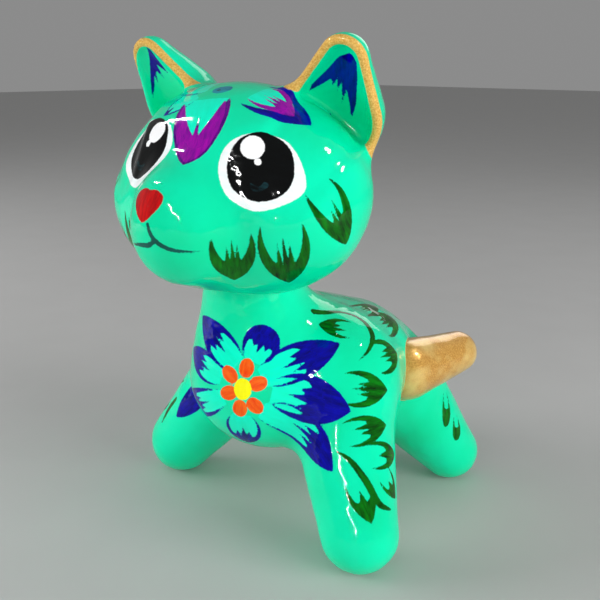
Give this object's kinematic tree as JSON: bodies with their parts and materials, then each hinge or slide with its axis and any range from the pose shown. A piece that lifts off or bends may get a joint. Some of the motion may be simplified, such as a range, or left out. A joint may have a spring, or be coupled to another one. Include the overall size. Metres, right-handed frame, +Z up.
{
  "type": "alebrije figure",
  "caption": "Hand-painted clay cat with a big round nodding head, four splayed legs and a short gold tail.",
  "frame": {"origin": "on the floor, under the middle of the whole figure", "axes": "+Z up, the cat faces -Y and its left side is +X"},
  "size_m": [0.0868, 0.0953, 0.1187],
  "materials": {
    "painted_body": "gloss",
    "gold_paint": "gloss",
    "wire": "satin"
  },
  "bodies": {
    "figure": {"torso_shell": "painted_body", "front_left_leg": "painted_body", "front_right_leg": "painted_body", "rear_left_leg": "painted_body", "rear_right_leg": "painted_body", "tail": "gold_paint", "neck_crossbar": "wire", "neck_hook": "wire"},
    "ring": {"hanging_ring": "wire"},
    "hanger": {"crown_eye": "wire", "crown_washer": "wire"},
    "head": {"head_shell": "painted_body", "left_ear": "painted_body", "right_ear": "painted_body", "crown_plug": "painted_body"}
  },
  "joints": [
    {"name": "head_nod", "type": "hinge", "parent": "figure", "child": "ring", "pos_m": [0, -0.01675, 0.0996], "axis": [1, 0, 0], "range_deg": [-2.5, 5]},
    {"name": "head_sway", "type": "hinge", "parent": "ring", "child": "hanger", "pos_m": [0, -0.01675, 0.0946], "axis": [0, 1, 0], "range_deg": [-3, 3]},
    {"name": "head_turn", "type": "hinge", "parent": "hanger", "child": "head", "pos_m": [0, -0.01675, 0.104], "axis": [0, 0, 1], "range_deg": [-40, 15]}
  ]
}
